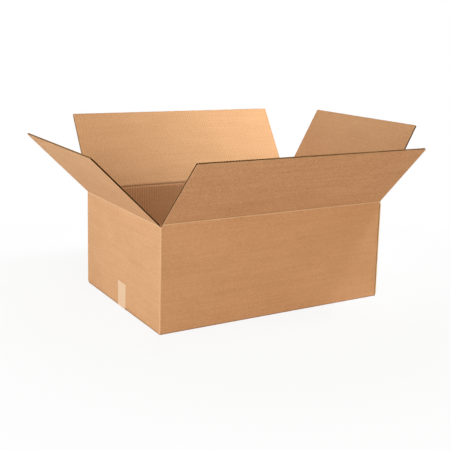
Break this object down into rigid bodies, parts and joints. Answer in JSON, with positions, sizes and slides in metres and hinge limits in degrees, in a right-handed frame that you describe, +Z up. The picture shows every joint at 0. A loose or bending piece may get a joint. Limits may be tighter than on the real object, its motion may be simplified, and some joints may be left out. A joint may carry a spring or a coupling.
{
  "type": "open cardboard box",
  "caption": "Open shipping carton of corrugated board: folded walls, a bottom closed by tape and long and short top flaps hinged at their scored folds.",
  "frame": {"origin": "middle of the underside of the closed bottom, on the floor", "axes": "+X along the long side of the box, +Z up; the front flap is on the -Y side and the left flap on the -X side"},
  "size_m": [0.8721, 0.6953, 0.4339],
  "materials": {
    "kraft_board": "matt",
    "tape": "satin"
  },
  "bodies": {
    "root": {"carton_body": "kraft_board", "seam_tape": "tape"},
    "front_panel_flap": {"front_flap": "kraft_board"},
    "back_panel_flap": {"back_flap": "kraft_board"},
    "left_panel_flap": {"left_flap": "kraft_board"},
    "right_panel_flap": {"right_flap": "kraft_board"}
  },
  "joints": [
    {"name": "front_fold", "type": "hinge", "parent": "root", "child": "front_panel_flap", "pos_m": [0, -0.215, 0.246], "axis": [1, 0, 0], "range_deg": [-134.5, 130.5]},
    {"name": "back_fold", "type": "hinge", "parent": "root", "child": "back_panel_flap", "pos_m": [0, 0.215, 0.246], "axis": [-1, 0, 0], "range_deg": [-122.5, 142.5]},
    {"name": "left_fold", "type": "hinge", "parent": "root", "child": "left_panel_flap", "pos_m": [-0.305, 0, 0.2417], "axis": [0, -1, 0], "range_deg": [-135, 130]},
    {"name": "right_fold", "type": "hinge", "parent": "root", "child": "right_panel_flap", "pos_m": [0.305, 0, 0.2417], "axis": [0, 1, 0], "range_deg": [-119.5, 145.5]}
  ]
}
